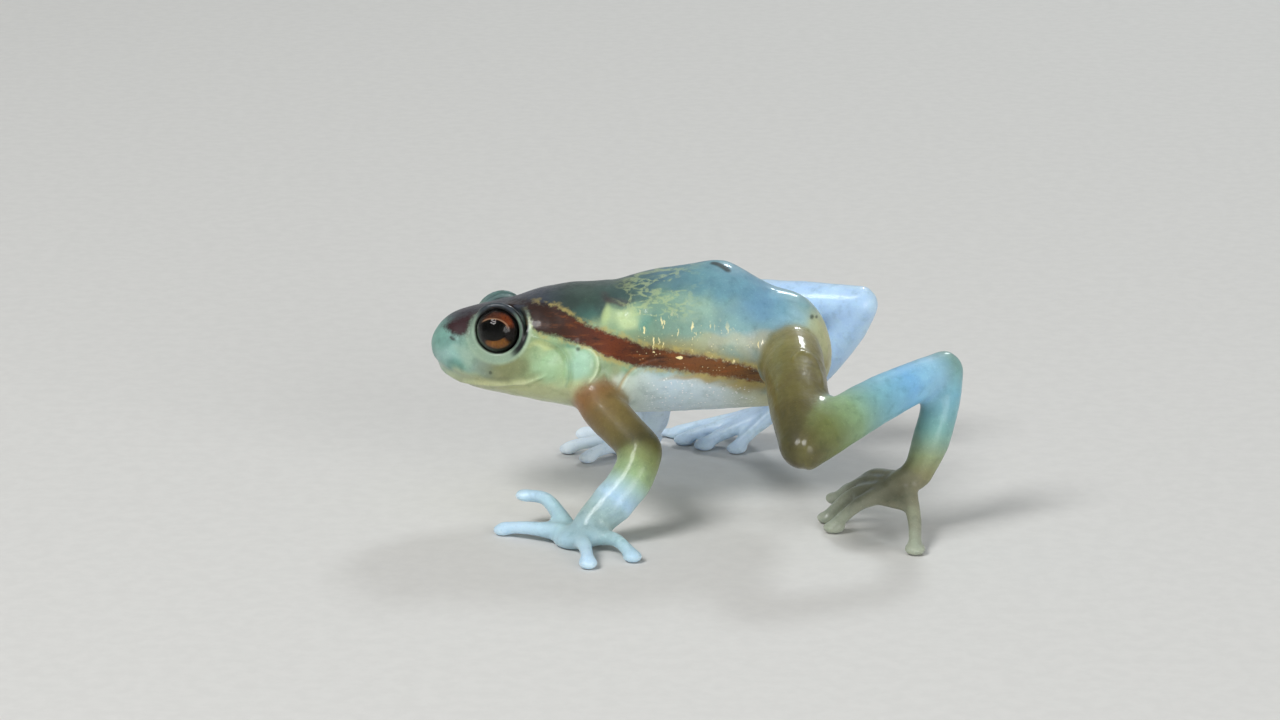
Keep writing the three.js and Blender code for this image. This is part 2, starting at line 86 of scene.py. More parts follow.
def on_body(points):
    """Distance from the snout, distance to the midline's right, and height, in mm of the body."""
    from_eyes = points - EYES_MIDDLE
    along = (points[..., 0] - SNOUT_X) / MM
    return along, from_eyes @ ACROSS / MM, from_eyes @ UPWARDS / MM + EYE_HEIGHT


def gaze(side):
    """The way one eye looks, its upward direction, and its direction towards the animal's rear."""
    looks = (
        -math.sin(EYE_FORWARD) * ALONG
        + SIDES[side] * math.cos(EYE_FORWARD) * math.cos(EYE_UP) * ACROSS
        + math.sin(EYE_UP) * UPWARDS
    )
    looks /= np.linalg.norm(looks)
    up = UPWARDS - (UPWARDS @ looks) * looks
    up /= np.linalg.norm(up)
    return looks, up, np.cross(up, looks) * -SIDES[side]


def round_eye(points, side):
    """Places about one eye's centre, in mm: towards the rear, upwards, and along its gaze."""
    looks, up, rear = gaze(side)
    away = (points - EYES[side]) / MM
    return away @ rear, away @ up, away @ looks


# Camera

LENS = 120
SENSOR = 36
CAMERA_DISTANCE = 266.7 * MM
CAMERA_ELEVATION = math.radians(15)
AIM_BEHIND_SNOUT = 13.1 * MM
AIM_HEIGHT = 9.0 * MM
AIM_LEFT_OF_EYES = 0.13 * MM


def add_camera():
    camera = bpy.data.objects.new("camera", bpy.data.cameras.new("camera"))
    bpy.context.scene.collection.objects.link(camera)
    camera.data.lens = LENS
    camera.data.sensor_width = SENSOR
    camera.data.clip_start = 0.01
    camera.data.clip_end = 5
    aim = Vector((SNOUT_X + AIM_BEHIND_SNOUT, EYES_MIDDLE[1] - AIM_LEFT_OF_EYES, AIM_HEIGHT))
    back = Vector((0, -math.cos(CAMERA_ELEVATION), math.sin(CAMERA_ELEVATION)))
    camera.location = aim + back * CAMERA_DISTANCE
    camera.rotation_euler = (-back).to_track_quat("-Z", "Y").to_euler()
    bpy.context.scene.camera = camera


# The skin's distance field, on one grid that holds the whole animal

VOXEL = 0.085 * MM
REACH = 12  # voxels on each side of a surface where a distance is known
FLESH = [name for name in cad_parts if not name.startswith("eye")]
TRUNK = ("head", "torso")
LIMBS = [name for name in FLESH if name not in TRUNK]
TO_GRID = vdb.createLinearTransform(voxelSize=VOXEL)
GRID_MARGIN = REACH + 4
GRID_LOW = np.floor(np.array(cad_box[0]) / VOXEL).astype(int) - GRID_MARGIN
GRID_HIGH = np.ceil(np.array(cad_box[1]) / VOXEL).astype(int) + GRID_MARGIN
GAP_FILL = 0.17 * MM  # a little over half the gap between neighbouring parts
# Widths of the blurs that soften the field, in voxels
SKIN_BLUR = 1.5
THICK_BLUR = 3
THIGH_BLUR = 5
NAPE_BLUR = 5
# The blur of a thick part fades between these distances outside its solid, in mm
THICK_FADE = (0.4, 0.8)
# The nape's stretch along the body, its lowest point, and where its blur fades, in mm
NAPE = (5.0, 13.0)
NAPE_LOW = 9.0
NAPE_HEIGHTS = (11.6, 12.6)
NAPE_ENDS = (1.2, 2.6)
NAPE_HALF_WIDTH = 4.5
# How softly each part runs into what carries it
SOFT_JOIN = {
    "torso": 0.5 * MM,
    "upper_arm": 0.6 * MM,
    "forearm": 0.4 * MM,
    "hand": 0.6 * MM,
    "thigh": 0.35 * MM,
    "shank": 0.3 * MM,
    "tarsus": 0.3 * MM,
    "foot": 0.5 * MM,
}


def triangles_of(node):
    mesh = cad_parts[node].data
    mesh.calc_loop_triangles()
    points = np.zeros(len(mesh.vertices) * 3, np.float32)
    mesh.vertices.foreach_get("co", points)
    corners = np.zeros(len(mesh.loop_triangles) * 3, np.int32)
    mesh.loop_triangles.foreach_get("vertices", corners)
    return points.reshape(-1, 3), corners.reshape(-1, 3).astype(np.uint32)


def node_distance(node):
    """A node's signed distances, and the slice of the whole grid where they lie."""
    points, corners = triangles_of(node)
    level_set = vdb.FloatGrid.createLevelSetFromPolygons(
        points, triangles=corners, transform=TO_GRID, halfWidth=REACH
    )
    low = np.floor(points.min(0) / VOXEL).astype(int) - REACH - 1
    high = np.ceil(points.max(0) / VOXEL).astype(int) + REACH + 2
    part = np.full(high - low, REACH * VOXEL, np.float32)
    level_set.copyToArray(part, ijk=tuple(int(i) for i in low))
    return part, tuple(slice(a, b) for a, b in zip(low - GRID_LOW, high - GRID_LOW))


def smooth_union(a, b, reach):
    share = np.clip(0.5 + 0.5 * (b - a) / reach, 0, 1)
    return b + (a - b) * share - reach * share * (1 - share)


def smooth_cut(a, b, reach):
    """What is left of a once b is taken away, with a soft edge."""
    return -smooth_union(-a, b, reach)


def blur(field, sigma):
    """A soft copy of the field, by a bell curve of sigma voxels along each axis."""
    shifts = range(-math.ceil(2.5 * sigma), math.ceil(2.5 * sigma) + 1)
    weights = [math.exp(-(shift**2) / (2 * sigma**2)) for shift in shifts]
    for axis in range(3):
        total = np.zeros_like(field)
        for shift, weight in zip(shifts, weights):
            total += np.roll(field, shift, axis) * np.float32(weight / sum(weights))
        field = total
    return field


node_fields = {node: node_distance(node) for node in FLESH}


def flesh_field():
    """All the flesh as one body: the parts grow until their gaps close, are joined, and shrink."""
    field = np.full(GRID_HIGH - GRID_LOW, REACH * VOXEL, np.float32)
    for node in (*TRUNK, *LIMBS):
        part, where = node_fields[node]
        kind = node.rsplit("_", 1)[0]
        reach = SOFT_JOIN.get(kind, SOFT_JOIN["torso"])
        field[where] = smooth_union(field[where], part - GAP_FILL, reach)
    points, quads = skin_mesh(field)
    whole = vdb.FloatGrid.createLevelSetFromPolygons(
        points.astype(np.float32), quads=quads.astype(np.uint32), transform=TO_GRID, halfWidth=REACH
    )
    field = np.full_like(field, REACH * VOXEL)
    whole.copyToArray(field, ijk=tuple(int(i) for i in GRID_LOW))
    return field + GAP_FILL


def smooth_thick_parts(field):
    """Evens out the facets of the solids, except on the thin hands and feet."""
    for node in FLESH:
        if node.startswith(("hand", "foot")):
            continue
        part, where = node_fields[node]
        share = step(-part / MM, -THICK_FADE[1], -THICK_FADE[0])
        width = THIGH_BLUR if node.startswith("thigh") else THICK_BLUR
        field[where] += (blur(field[where], width) - field[where]) * share.astype(np.float32)


def smooth_neck(field):
    """Evens out the seam of head and back in the outline of the nape."""
    low = (SNOUT_X + NAPE[0] * MM, cad_box[0][1], NAPE_LOW * MM)
    high = (SNOUT_X + NAPE[1] * MM, cad_box[1][1], cad_box[1][2])
    where, points = grid_points(low, high)
    along, across, height = on_body(points)
    from_middle = np.abs(along - sum(NAPE) / 2)
    share = step(height, *NAPE_HEIGHTS) * (1 - step(from_middle, *NAPE_ENDS))
    share *= np.abs(across) < NAPE_HALF_WIDTH
    soft = blur(blur(field[where], NAPE_BLUR), NAPE_BLUR)
    field[where] += (soft - field[where]) * share.astype(np.float32)


def grid_points(low, high):
    """Slices and the places of the grid's points inside a box of the frame."""
    first = np.maximum(np.floor(np.array(low) / VOXEL).astype(int) - GRID_LOW, 0)
    last = np.minimum(np.ceil(np.array(high) / VOXEL).astype(int) - GRID_LOW, GRID_HIGH - GRID_LOW)
    where = tuple(slice(a, b) for a, b in zip(first, last))
    axes = [(np.arange(a, b) + c) * VOXEL for a, b, c in zip(first, last, GRID_LOW)]
    return where, np.stack(np.meshgrid(*axes, indexing="ij"), -1)


# The flesh that hugs each eyeball, in mm: a ring for the lids, and a cup behind them
EYE_SURROUND = 2.4
LID_RING = 1.54
LID_OUTWARDS = 0.5
LID_THICKNESS = 0.15
LID_JOIN = 0.16
UPPER_LID_EXTRA = 0.07
UPPER_LID_INWARDS = 0.04
CUP_OUTWARDS = 0.3
CUP_WALL = 0.15
CUP_JOIN = 0.08
EYEBALL_ROOM = 0.012
SOCKET_EDGE = 0.04


def shape_eye_socket(field, side):
    surround = EYE_SURROUND * MM
    where, points = grid_points(EYES[side] - surround, EYES[side] + surround)
    rear, up, out = round_eye(points, side)
    radial = np.hypot(rear, up)
    from_centre = np.sqrt(radial**2 + out**2)
    upper = step(up / np.maximum(radial, 0.1), 0.0, 0.9)
    ring_radius = LID_RING - UPPER_LID_INWARDS * upper
    ring = np.hypot(radial - ring_radius, out - LID_OUTWARDS)
    ring = ring - LID_THICKNESS - UPPER_LID_EXTRA * upper
    cup = np.maximum(from_centre - EYE_RADIUS - CUP_WALL, out - CUP_OUTWARDS)
    part = smooth_union(field[where], ring * MM, LID_JOIN * MM)
    part = smooth_union(part, cup * MM, CUP_JOIN * MM)
    eyeball = from_centre - EYE_RADIUS - EYEBALL_ROOM
    field[where] = smooth_cut(part, eyeball * MM, SOCKET_EDGE * MM)


def skin_mesh(field):
    """Vertices and four-sided faces of the field's zero surface, without loose scraps."""
    grid = vdb.FloatGrid(REACH * VOXEL)
    grid.copyFromArray(field.astype(np.float32), ijk=tuple(int(i) for i in GRID_LOW))
    grid.transform = TO_GRID
    points, quads = grid.convertToQuads(0.0)
    quads = quads.astype(np.int64)
    # Each vertex takes the lowest label near it, until all that hang together share one
    label = np.arange(len(points))
    while True:
        lowest = label[quads].min(1)
        spread = label.copy()
        for corner in range(4):
            np.minimum.at(spread, quads[:, corner], lowest)
        spread = spread[spread]
        if (spread == label).all():
            break
        label = spread
    body = np.bincount(label).argmax()
    kept = label == body
    renumber = np.cumsum(kept) - 1
    return points[kept], renumber[quads[kept[quads[:, 0]]]]


def relaxed(points, quads, rounds=3):
    """Moves each vertex halfway to its neighbours' middle, to even out the grid's faint steps."""
    first = np.concatenate([quads[:, corner] for corner in range(4)])
    second = np.concatenate([quads[:, (corner + 1) % 4] for corner in range(4)])
    degree = np.bincount(first, minlength=len(points)) + np.bincount(second, minlength=len(points))
    for _ in range(rounds):
        total = np.zeros_like(points)
        for axis in range(3):
            total[:, axis] = np.bincount(first, points[second, axis], len(points))
            total[:, axis] += np.bincount(second, points[first, axis], len(points))
        points = 0.5 * points + 0.5 * total / np.maximum(degree, 1)[:, None]
    return points


def new_mesh_object(name, points, faces):
    """A new smooth-shaded object in the scene."""
    mesh = bpy.data.meshes.new(name)
    mesh.from_pydata(points.tolist(), [], [list(face) for face in faces])
    mesh.validate()
    mesh.polygons.foreach_set("use_smooth", [True] * len(mesh.polygons))
    mesh.update()
    piece = bpy.data.objects.new(name, mesh)
    bpy.context.scene.collection.objects.link(piece)
    return piece


# Places along the limbs, as shares of the way between joints

JOINT_SPREAD = 0.35 * MM
DIGITS_REACH = 6 * MM
NEXT_JOINT = {
    "upper_arm": "forearm",
    "forearm": "hand",
    "thigh": "shank",
    "shank": "tarsus",
    "tarsus": "foot",
}


def joint_between(first, second):
    """The middle of what the first node has close to the second, which it meets at a joint."""
    a = triangles_of(first)[0]
    b = triangles_of(second)[0]
    apart = np.linalg.norm(a[:, None, :] - b[None, :, :], axis=2)
    near = apart.min(1) < apart.min() + JOINT_SPREAD
    return a[near].mean(0)


def limb_joints(side):
    leg = ["torso", "thigh", "shank", "tarsus", "foot"]
    arm = ["torso", "upper_arm", "forearm", "hand"]
    joints = {}
    for chain in (leg, arm):
        for first, second in zip(chain, chain[1:]):
            name = first if first == "torso" else f"{first}_{side}"
            joints[second] = joint_between(name, f"{second}_{side}")
    return joints


JOINTS = {side: limb_joints(side) for side in SIDES}


def limb_share(points, part, side):
    """How far along a limb part each point lies, from 0 at its upper joint to 1 at its end."""
    start = JOINTS[side][part]
    if part not in NEXT_JOINT:
        return np.clip(np.linalg.norm(points - start, axis=-1) / DIGITS_REACH, 0, 1)
    way = JOINTS[side][NEXT_JOINT[part]] - start
    return np.clip((points - start) @ way / (way @ way), 0, 1)


def near_node(points, node):
    """Each point's signed distance to a node, in mm, capped beyond the grid's reach."""
    part, where = node_fields[node]
    low = np.array([s.start for s in where]) + GRID_LOW
    index = np.rint(points / VOXEL).astype(int) - low
    inside = ((index >= 0) & (index < np.array(part.shape))).all(1)
    found = np.full(len(points), REACH * VOXEL / MM)
    found[inside] = part[tuple(index[inside].T)] / MM
    return found


# Small helpers for places and colours

def srgb(code):
    """A hex colour as linear red, green and blue."""
    parts = np.array([int(code[i : i + 2], 16) for i in (1, 3, 5)]) / 255
    return np.where(parts <= 0.04045, parts / 12.92, ((parts + 0.055) / 1.055) ** 2.4)


def ramp(place, stops):
    """Colours between stops of (place, hex colour)."""
    places = [stop[0] for stop in stops]
    colours = np.array([srgb(stop[1]) for stop in stops])
    return np.stack([np.interp(place, places, colours[:, i]) for i in range(3)], -1)


def line(place, knots):
    """The value at a place between knots of (place, value)."""
    return np.interp(place, [knot[0] for knot in knots], [knot[1] for knot in knots])


def step(value, low, high):
    """0 below low, 1 above high, and a soft rise between them."""
    share = np.clip((value - low) / (high - low), 0, 1)
    return share * share * (3 - 2 * share)


def band(value, start, full, falling, end):
    """0 outside start and end, 1 between full and falling, and soft edges."""
    return step(value, start, full) * (1 - step(value, falling, end))


def bell(value, width):
    return np.exp(-((value / width) ** 2))


def mix(a, b, share):
    return a + (b - a) * np.asarray(share)[..., None]


def rounded(path):
    """A finer copy of a path of (along, height) points, with its corners rounded."""
    path = np.array(path, float)
    for _ in range(3):
        quarter = path[:-1] * 0.75 + path[1:] * 0.25
        three_quarters = path[:-1] * 0.25 + path[1:] * 0.75
        middle = np.stack([quarter, three_quarters], 1).reshape(-1, 2)
        path = np.vstack([path[:1], middle, path[-1:]])
    return path


def distance_to(path, along, height):
    """Distance in the side view to a path of (along, height) points, and the path's share there."""
    path = rounded(path)
    nearest = np.full(along.shape, 1e3)
    share = np.zeros(along.shape)
    spans = len(path) - 1
    for i, (a, b) in enumerate(zip(path, path[1:])):
        way = b - a
        t = ((along - a[0]) * way[0] + (height - a[1]) * way[1]) / max(way @ way, 1e-9)
        t = np.clip(t, 0, 1)
        away = np.hypot(along - a[0] - t * way[0], height - a[1] - t * way[1])
        closer = away < nearest
        nearest = np.where(closer, away, nearest)
        share = np.where(closer, (i + t) / spans, share)
    return nearest, share


def fading_ends(share):
    return band(share, 0.0, 0.15, 0.85, 1.0)


# Lines of the body in its side view, as (along, height) in mm

MOUTH = [(0, 8.95), (0.6, 8.65), (2.05, 7.95), (4.15, 7.9), (6.05, 8.1), (7.6, 8.75)]
MOUTH_CORNER = 7.5
JAW_CREASE = [
    (6.4, 11.0), (7.4, 10.8), (8.15, 10.4), (8.6, 9.8), (8.75, 9.2), (8.7, 8.4),
    (8.5, 7.8),
]
SHOULDER_EDGE = [(9.1, 10.45), (9.8, 10.35), (10.4, 9.9), (10.55, 9.3), (10.35, 8.6), (9.8, 7.95)]
CHEST_FOLD = [(11.75, 6.9), (11.7, 7.5), (12.1, 8.4), (12.65, 9.05), (13.8, 9.72), (15.0, 9.75)]
ARMPIT_FOLD = [(10.8, 8.7), (11.1, 8.1), (11.6, 7.6), (11.75, 7.2)]
THIGH_FOLD = [(22.3, 9.9), (22.6, 10.3), (23.0, 10.42), (23.6, 10.1), (24.0, 9.4), (24.2, 8.4)]
NOSTRIL = (1.53, 10.69)
NOSTRIL_WAY = (0.9, -0.44)  # a slit that slopes down towards the rear
NOSTRIL_STRETCH = 1.9
# How far the lips and the slit between them rise, in mm: height over the mouth's line, width, rise
LIPS = [(0.27, 0.17, 0.07), (-0.25, 0.15, 0.045), (0.0, 0.09, -0.13)]
# The creases and folds: path, width and rise in mm
FOLDS = [
    (JAW_CREASE, 0.14, -0.13),
    (SHOULDER_EDGE, 0.13, -0.08),
    (CHEST_FOLD, 0.1, 0.07),
    (ARMPIT_FOLD, 0.1, -0.07),
]
FOLD_SIDES = (0.9, 1.6)  # the folds fade in between these distances from the midline, in mm


def from_nostril(along, height):
    """Distance in the side view to the nostril's middle, shortened along the slit."""
    behind, above = along - NOSTRIL[0], height - NOSTRIL[1]
    lengthwise = behind * NOSTRIL_WAY[0] + above * NOSTRIL_WAY[1]
    crosswise = above * NOSTRIL_WAY[0] - behind * NOSTRIL_WAY[1]
    return np.hypot(lengthwise / NOSTRIL_STRETCH, crosswise)


def trunk_share(points):
    """1 on the head and torso, 0 on the limbs."""
    trunk = np.minimum(near_node(points, "head"), near_node(points, "torso"))
    limbs = np.min([near_node(points, node) for node in LIMBS], 0)
    return step(limbs - trunk, -0.2, 0.2)


def relief(points):
    """How far each point of the skin moves outwards, in mm, for lips, folds and soft lumps."""
    along, across, height = on_body(points)
    wide = step(np.abs(across), *FOLD_SIDES)
    from_mouth = height - line(along, MOUTH)
    total = sum(rise * bell(from_mouth - level, width) for level, width, rise in LIPS)
    total *= step(MOUTH_CORNER - along, 0.0, 0.8)
    for path, width, rise in FOLDS:
        away, share = distance_to(path, along, height)
        rise = rise * wide * fading_ends(share)
        total += rise * bell(away, width)
        # The skin beside a fold gives way a little
        total -= 0.35 * rise * bell(away - 2 * width, width)
    # The nostril is a small pit with a raised rim
    away = from_nostril(along, height)
    total += wide * 0.05 * bell(away - 0.24, 0.09)
    total -= wide * 0.14 * bell(away, 0.11)
    total *= trunk_share(points)
    from_thighs = np.minimum(near_node(points, "thigh_left"), near_node(points, "thigh_right"))
    on_thigh = step(0.25 - from_thighs, 0.0, 0.2)
    away, share = distance_to(THIGH_FOLD, along, height)
    total -= on_thigh * 0.09 * bell(away, 0.13) * fading_ends(share)
    # Soft lumps that no living skin is without
    places = points / MM
    lumps = np.array([
        noise.noise(place * 0.9) * 0.03 + noise.noise(place * 2.6) * 0.007
        for place in map(Vector, places)
    ])
    off_floor = step(places[:, 2], 0.05, 0.5)
    return total + lumps * off_floor


# Colour by place, with every place as (along, height) or along the body, in mm

STRIPE_TOP = [
    (0.85, 11.35), (1.3, 11.7), (2.5, 12.15), (4.4, 12.4), (5.0, 13.0), (6.7, 13.0),
    (7.9, 12.85), (8.7, 12.4), (9.4, 11.95), (10.4, 11.55), (11.5, 11.2), (12.5, 10.85),
    (13.5, 10.45), (16.8, 10.0), (18.7, 9.5), (20.5, 9.05), (23, 8.8),
]
STRIPE_FOOT = [
    (0.85, 11.3), (1.2, 11.05), (1.7, 10.85), (2.6, 10.95), (4.4, 11.4), (5.4, 11.9),
    (6.2, 11.9), (6.75, 11.2), (7.8, 11.0), (8.6, 10.7), (9.4, 10.5), (10.2, 10.17),
    (10.7, 9.8), (11.7, 9.45), (12.8, 9.1), (14.5, 9.0), (16.6, 8.7), (18.7, 8.35),
    (20.6, 7.95), (23, 8.3),
]
STRIPE_COLOURS = [
    (0, "#34191f"), (3, "#331519"), (5, "#1f0e0a"), (8, "#34190a"), (10, "#57240b"),
    (11.2, "#6e300d"), (13, "#4f250d"), (16, "#764519"), (19, "#7e501e"), (22, "#72541f"),
]
STRIPE_ENDS = (0.85, 22.8)
STRIPE_FROM_MIDLINE = 0.9
STRIPE_FROM_EYE = 2.0
# Where the flecks over the stripe and the sparkles under it fade in and out
GOLD_ALONG = (12.4, 13.4, 20.2, 21.5)
SILVER_ALONG = (12.5, 14.5, 19.5, 21)
DARK_EDGE = [  # lower edge of the dark back
    (0, 12.2), (1.2, 11.75), (3, 12.0), (7, 12.5), (9, 12.0), (10.5, 12.1), (11.2, 13.0),
    (13, 13.5), (15, 14.2), (20, 13.3), (25, 12.3),
]
PALE_EDGE = [  # upper edge of the pale belly
    (0, 9.0), (3, 8.6), (6.5, 8.4), (9, 8.2), (12, 8.9), (14, 9.1), (18.5, 8.2), (21, 7.6),
    (25, 7.5),
]


def trunk_colour(along, height):
    """The head's and torso's colour under the stripe and flecks."""
    side = ramp(
        along,
        [
            (0, "#5f8a80"), (1.6, "#7da39b"), (3.2, "#879b85"), (4.6, "#858a66"),
            (6.4, "#94a77e"), (8.4, "#a0bb90"), (9.2, "#a4c6a8"), (10.6, "#9bb08a"),
            (12, "#86a383"), (14, "#759684"), (16.5, "#85a398"), (19, "#82a5a9"),
            (22, "#7ba4b5"), (24, "#b4c0a2"), (25.1, "#b8b27e"),
        ],
    )
    top = ramp(
        along,
        [
            (0, "#4f7a72"), (1.2, "#3f4c50"), (2.0, "#322c36"), (4, "#2b2b35"),
            (7, "#363c48"), (8.6, "#33433f"), (10, "#374842"), (12.5, "#405857"),
            (14.5, "#557884"), (16.5, "#5f8692"), (18.5, "#6c96a6"), (21, "#6a96b0"),
            (23.5, "#7fa5ac"), (25.1, "#8d9670"),
        ],
    )
    under = ramp(
        along,
        [
            (0, "#a3b59c"), (3, "#a8ab84"), (6, "#b4b88c"), (9, "#bcc298"),
            (11, "#b4c0a4"), (12.5, "#c6d3ca"), (15, "#cfe3ef"), (18, "#d8e8ee"),
            (20, "#cdd3bd"), (22, "#b5ad74"), (25.1, "#a9a468"),
        ],
    )
    colour = mix(side, top, step(height - line(along, DARK_EDGE), -1.0, 0.3))
    pale_edge = line(along, PALE_EDGE)
    return mix(under, colour, step(height, pale_edge - 0.6, pale_edge + 0.35))


# Soft patches over the trunk's colour: along, height, half length, half height, colour, strength
PATCHES = [
    (0.9, 9.6, 0.9, 0.7, "#a6c6c1", 0.45),
    (2.4, 9.9, 0.8, 0.6, "#a9bfae", 0.5),
    (1.5, 8.9, 0.7, 0.4, "#4f8279", 0.55),
    (3.4, 9.1, 0.9, 0.5, "#7f9aa8", 0.35),
    (4.8, 9.1, 1.9, 0.8, "#7b7e56", 0.65),
    (7.3, 9.3, 1.0, 1.0, "#a3c4a0", 0.6),
    (7.2, 10.55, 1.3, 0.28, "#c3c98d", 0.55),
    (8.9, 10.55, 1.2, 0.3, "#4d7a6c", 0.7),
    (9.6, 9.3, 0.8, 1.0, "#aed3bd", 0.75),
    (9.2, 8.0, 0.9, 0.5, "#bfd0a0", 0.5),
    (11.6, 9.1, 0.6, 0.7, "#9aa27a", 0.7),
    (10.0, 12.3, 0.9, 0.6, "#4a716a", 0.6),
    (11.15, 12.25, 0.32, 0.75, "#b4c68e", 0.75),
    (11.7, 13.15, 1.1, 0.22, "#4c3439", 0.7),
    (12.3, 12.0, 0.95, 0.62, "#bfd09f", 0.8),
    (13.4, 11.7, 0.35, 0.7, "#5c9489", 0.6),
    (14.2, 12.2, 1.1, 0.35, "#6b958a", 0.5),
    (13.0, 13.2, 1.6, 0.3, "#4e6f6b", 0.5),
    (16.6, 12.5, 1.2, 0.8, "#99b5a4", 0.5),
    (20.3, 12.6, 1.6, 0.7, "#6f9dc0", 0.5),
    (22.4, 11.9, 1.2, 0.6, "#8fb9cf", 0.5),
    (17.5, 10.7, 2.8, 0.6, "#b1ac86", 0.6),
    (20.4, 10.5, 1.3, 0.9, "#b3ae94", 0.7),
    (19.7, 7.9, 1.6, 0.5, "#c0ad6a", 0.75),
    (16.8, 8.5, 2.4, 0.28, "#bba066", 0.6),
    (24.4, 10.6, 0.9, 1.6, "#c3c394", 0.75),
    (23.4, 10.2, 0.5, 0.35, "#5f8577", 0.7),
]
# Dark dots on the left side: along, height, radius
SPOTS = [
    (3.87, 8.69, 0.1), (9.3, 10.25, 0.12), (23.75, 11.95, 0.12), (24.05, 11.9, 0.08),
    (23.45, 11.2, 0.1),
]
HUMP_SPOT = [(17.7, 0.7), (18.1, 0.95), (18.5, 1.3)]  # along, left of the midline
# A golden glow over and under the stripe: colour, reach in mm, and where it starts along the body
GLOW_OVER = ("#94834a", 0.6, 11.5)
GLOW_UNDER = ("#b09a58", 0.5, 14.5)
# Lines drawn along the folds: path, colour, width in mm, strength; the darker lines in the jaw
# crease and the armpit fold are painted shade
FOLD_LINES = [
    (JAW_CREASE, "#5f7d60", 0.09, 0.6),
    (SHOULDER_EDGE, "#cfe0b8", 0.1, 0.5),
    (CHEST_FOLD, "#c9b78e", 0.09, 0.8),
    (ARMPIT_FOLD, "#6f6a48", 0.09, 0.6),
]
PATCH_SWAY = 0.45  # how far a soft noise moves the patches, in mm
PATCH_SWAY_SCALE = 1.1

# Colours along each limb part, from its upper joint to its end
LIMB_COLOURS = {
    "upper_arm": [(0, "#8a5f38"), (0.3, "#756039"), (0.7, "#675b33"), (1, "#474426")],
    "forearm": [
        (0, "#57542f"), (0.25, "#7f895a"), (0.55, "#93aa83"), (0.75, "#a4c0bd"),
        (1, "#aecde6"),
    ],
    "hand": [(0, "#accbe2"), (0.3, "#98b0b0"), (0.6, "#a0bfca"), (1, "#b9d6ee")],
    "thigh": [(0, "#827a4a"), (0.3, "#6c6435"), (0.7, "#5d552c"), (1, "#454023")],
    "shank": [
        (0, "#5a5532"), (0.15, "#6f7848"), (0.32, "#84a07c"), (0.5, "#7aaab6"),
        (0.7, "#7db4da"), (0.88, "#8fbad2"), (1, "#7c9f9b"),
    ],
    "tarsus": [
        (0, "#7fa5a3"), (0.25, "#7fb3c6"), (0.6, "#7aa5a3"), (0.85, "#919c78"),
        (1, "#86845f"),
    ],
    "foot": [(0, "#837f63"), (0.4, "#84836f"), (1, "#959a8c")],
}
LIMB_BLEND = 0.22  # how far one part's colour reaches into the next, in mm
# Painted light: a paler blue painted over the right limbs, which covers most of their colour
RIGHT_LIMB_PAINTED_LIGHT = {
    "upper_arm": "#dcebff",
    "forearm": "#dcebff",
    "hand": "#dcebff",
    "thigh": "#78a3c0",
    "shank": "#bcd8f8",
    "tarsus": "#bcd8f8",
    "foot": "#c4dcf6",
}
RIGHT_LIMB_PAINTED_LIGHT_SHARE = 0.85

# The left eye's upper lid is darker, as in the photo
# Painted light: the right eye's upper lid is painted paler than the left one's
UPPER_LID = {"left": "#28323a", "right": "#55706f"}
# Bands of colour about each eye, by their distances from its axis in mm
ROUND_EYE = 2.5
# The painted shadow where the lids meet the eyeball
LID_EDGE_SHADOW = (1.4, 1.52)
LID_BAND = (1.36, 1.5, 1.95, 2.25)
CRESCENT = (1.6, 1.66, 1.86, 1.94)
PALE_RIM = (1.92, 2.02, 2.06, 2.22)


def round_eye_colour(points, colour):
    """The lids' colours over the skin's, in rings about each eye, with a painted shadow along their
    inner edge and painted light on the right upper lid.
    """
    for side in SIDES:
        rear, up, out = round_eye(points, side)
        radial = np.hypot(rear, up)
        near = (radial < ROUND_EYE) & (out > -0.6)
        upper = step(up / np.maximum(radial, 0.1), 0.2, 0.8)
        behind = step(rear / np.maximum(radial, 0.1), 0.45, 0.8)
        ring = band(radial, *LID_BAND) * near
        lid = mix(np.broadcast_to(srgb("#8fa592"), colour.shape), srgb(UPPER_LID[side]), upper)
        lid = mix(lid, srgb("#4d625b"), behind * (1 - upper) * (1 - step(radial, 1.9, 2.0)))
        ahead = step(-rear / np.maximum(radial, 0.1), 0.2, 0.9) * (1 - upper)
        colour = mix(colour, lid, ring * (0.9 - 0.45 * ahead))
        # Painted shadow: near-black skin along the lids' inner edge
        colour = mix(colour, srgb("#0c0c0b"), near * (1 - step(radial, *LID_EDGE_SHADOW)))
        crescent = band(radial, *CRESCENT) * behind * near
        colour = mix(colour, srgb("#070908"), crescent)
        rim = band(radial, *PALE_RIM) * near * (1 - upper)
        colour = mix(colour, srgb("#b5c9a8"), rim * (0.15 + 0.45 * behind))
    return colour


